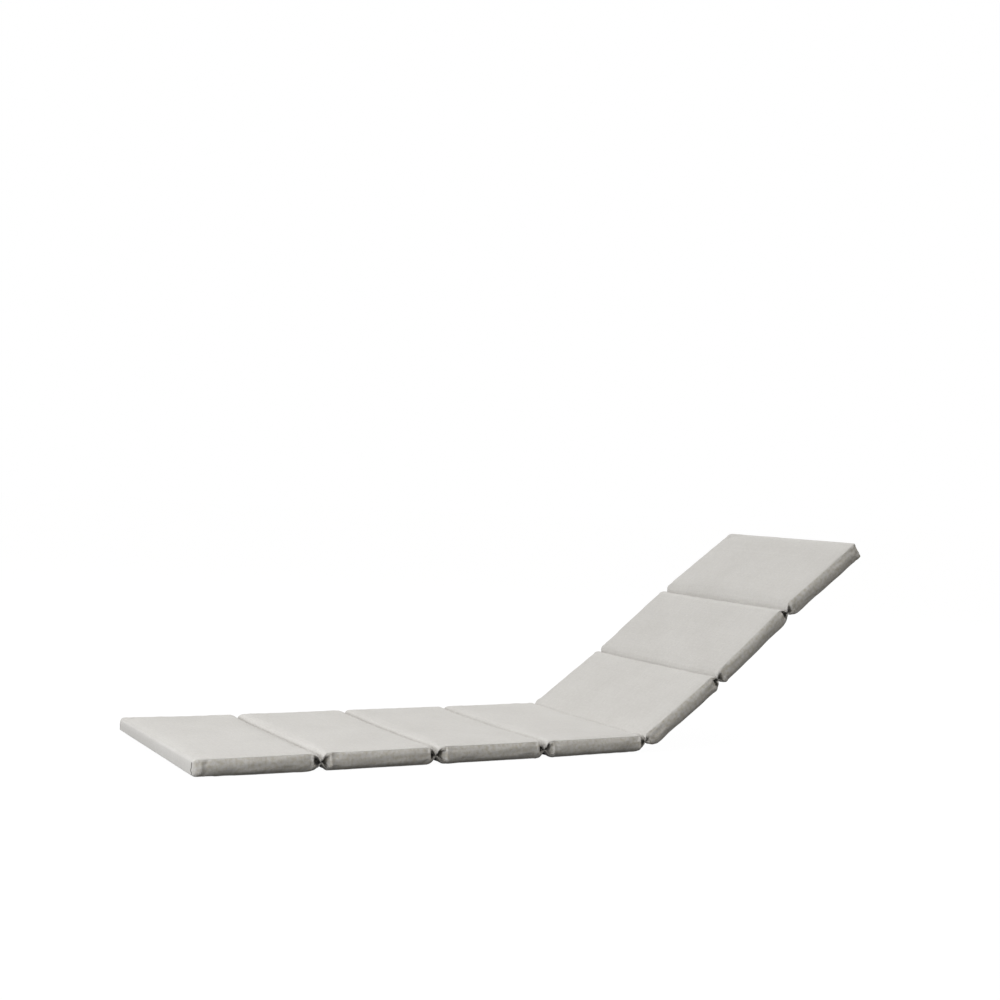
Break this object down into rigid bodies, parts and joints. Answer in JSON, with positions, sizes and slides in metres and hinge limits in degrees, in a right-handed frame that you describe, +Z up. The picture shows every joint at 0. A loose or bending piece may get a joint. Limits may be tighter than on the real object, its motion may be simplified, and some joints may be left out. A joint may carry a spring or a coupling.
{
  "type": "sun lounger cushion",
  "caption": "Long boxed lounger cushion in one woven cover, sewn through at channels into equal panels, lying flat at the foot end and raised at the head end.",
  "frame": {"origin": "under the middle of the cushion's bounding box, on the surface that the flat panels rest on", "axes": "+X from the foot end to the head end, +Y across the cushion, +Z up"},
  "size_m": [1.8494, 0.548, 0.5329],
  "materials": {
    "cover": "light grey melange woven outdoor cloth, matt"
  },
  "bodies": {
    "root": {"cushion": "cover"}
  },
  "joints": []
}
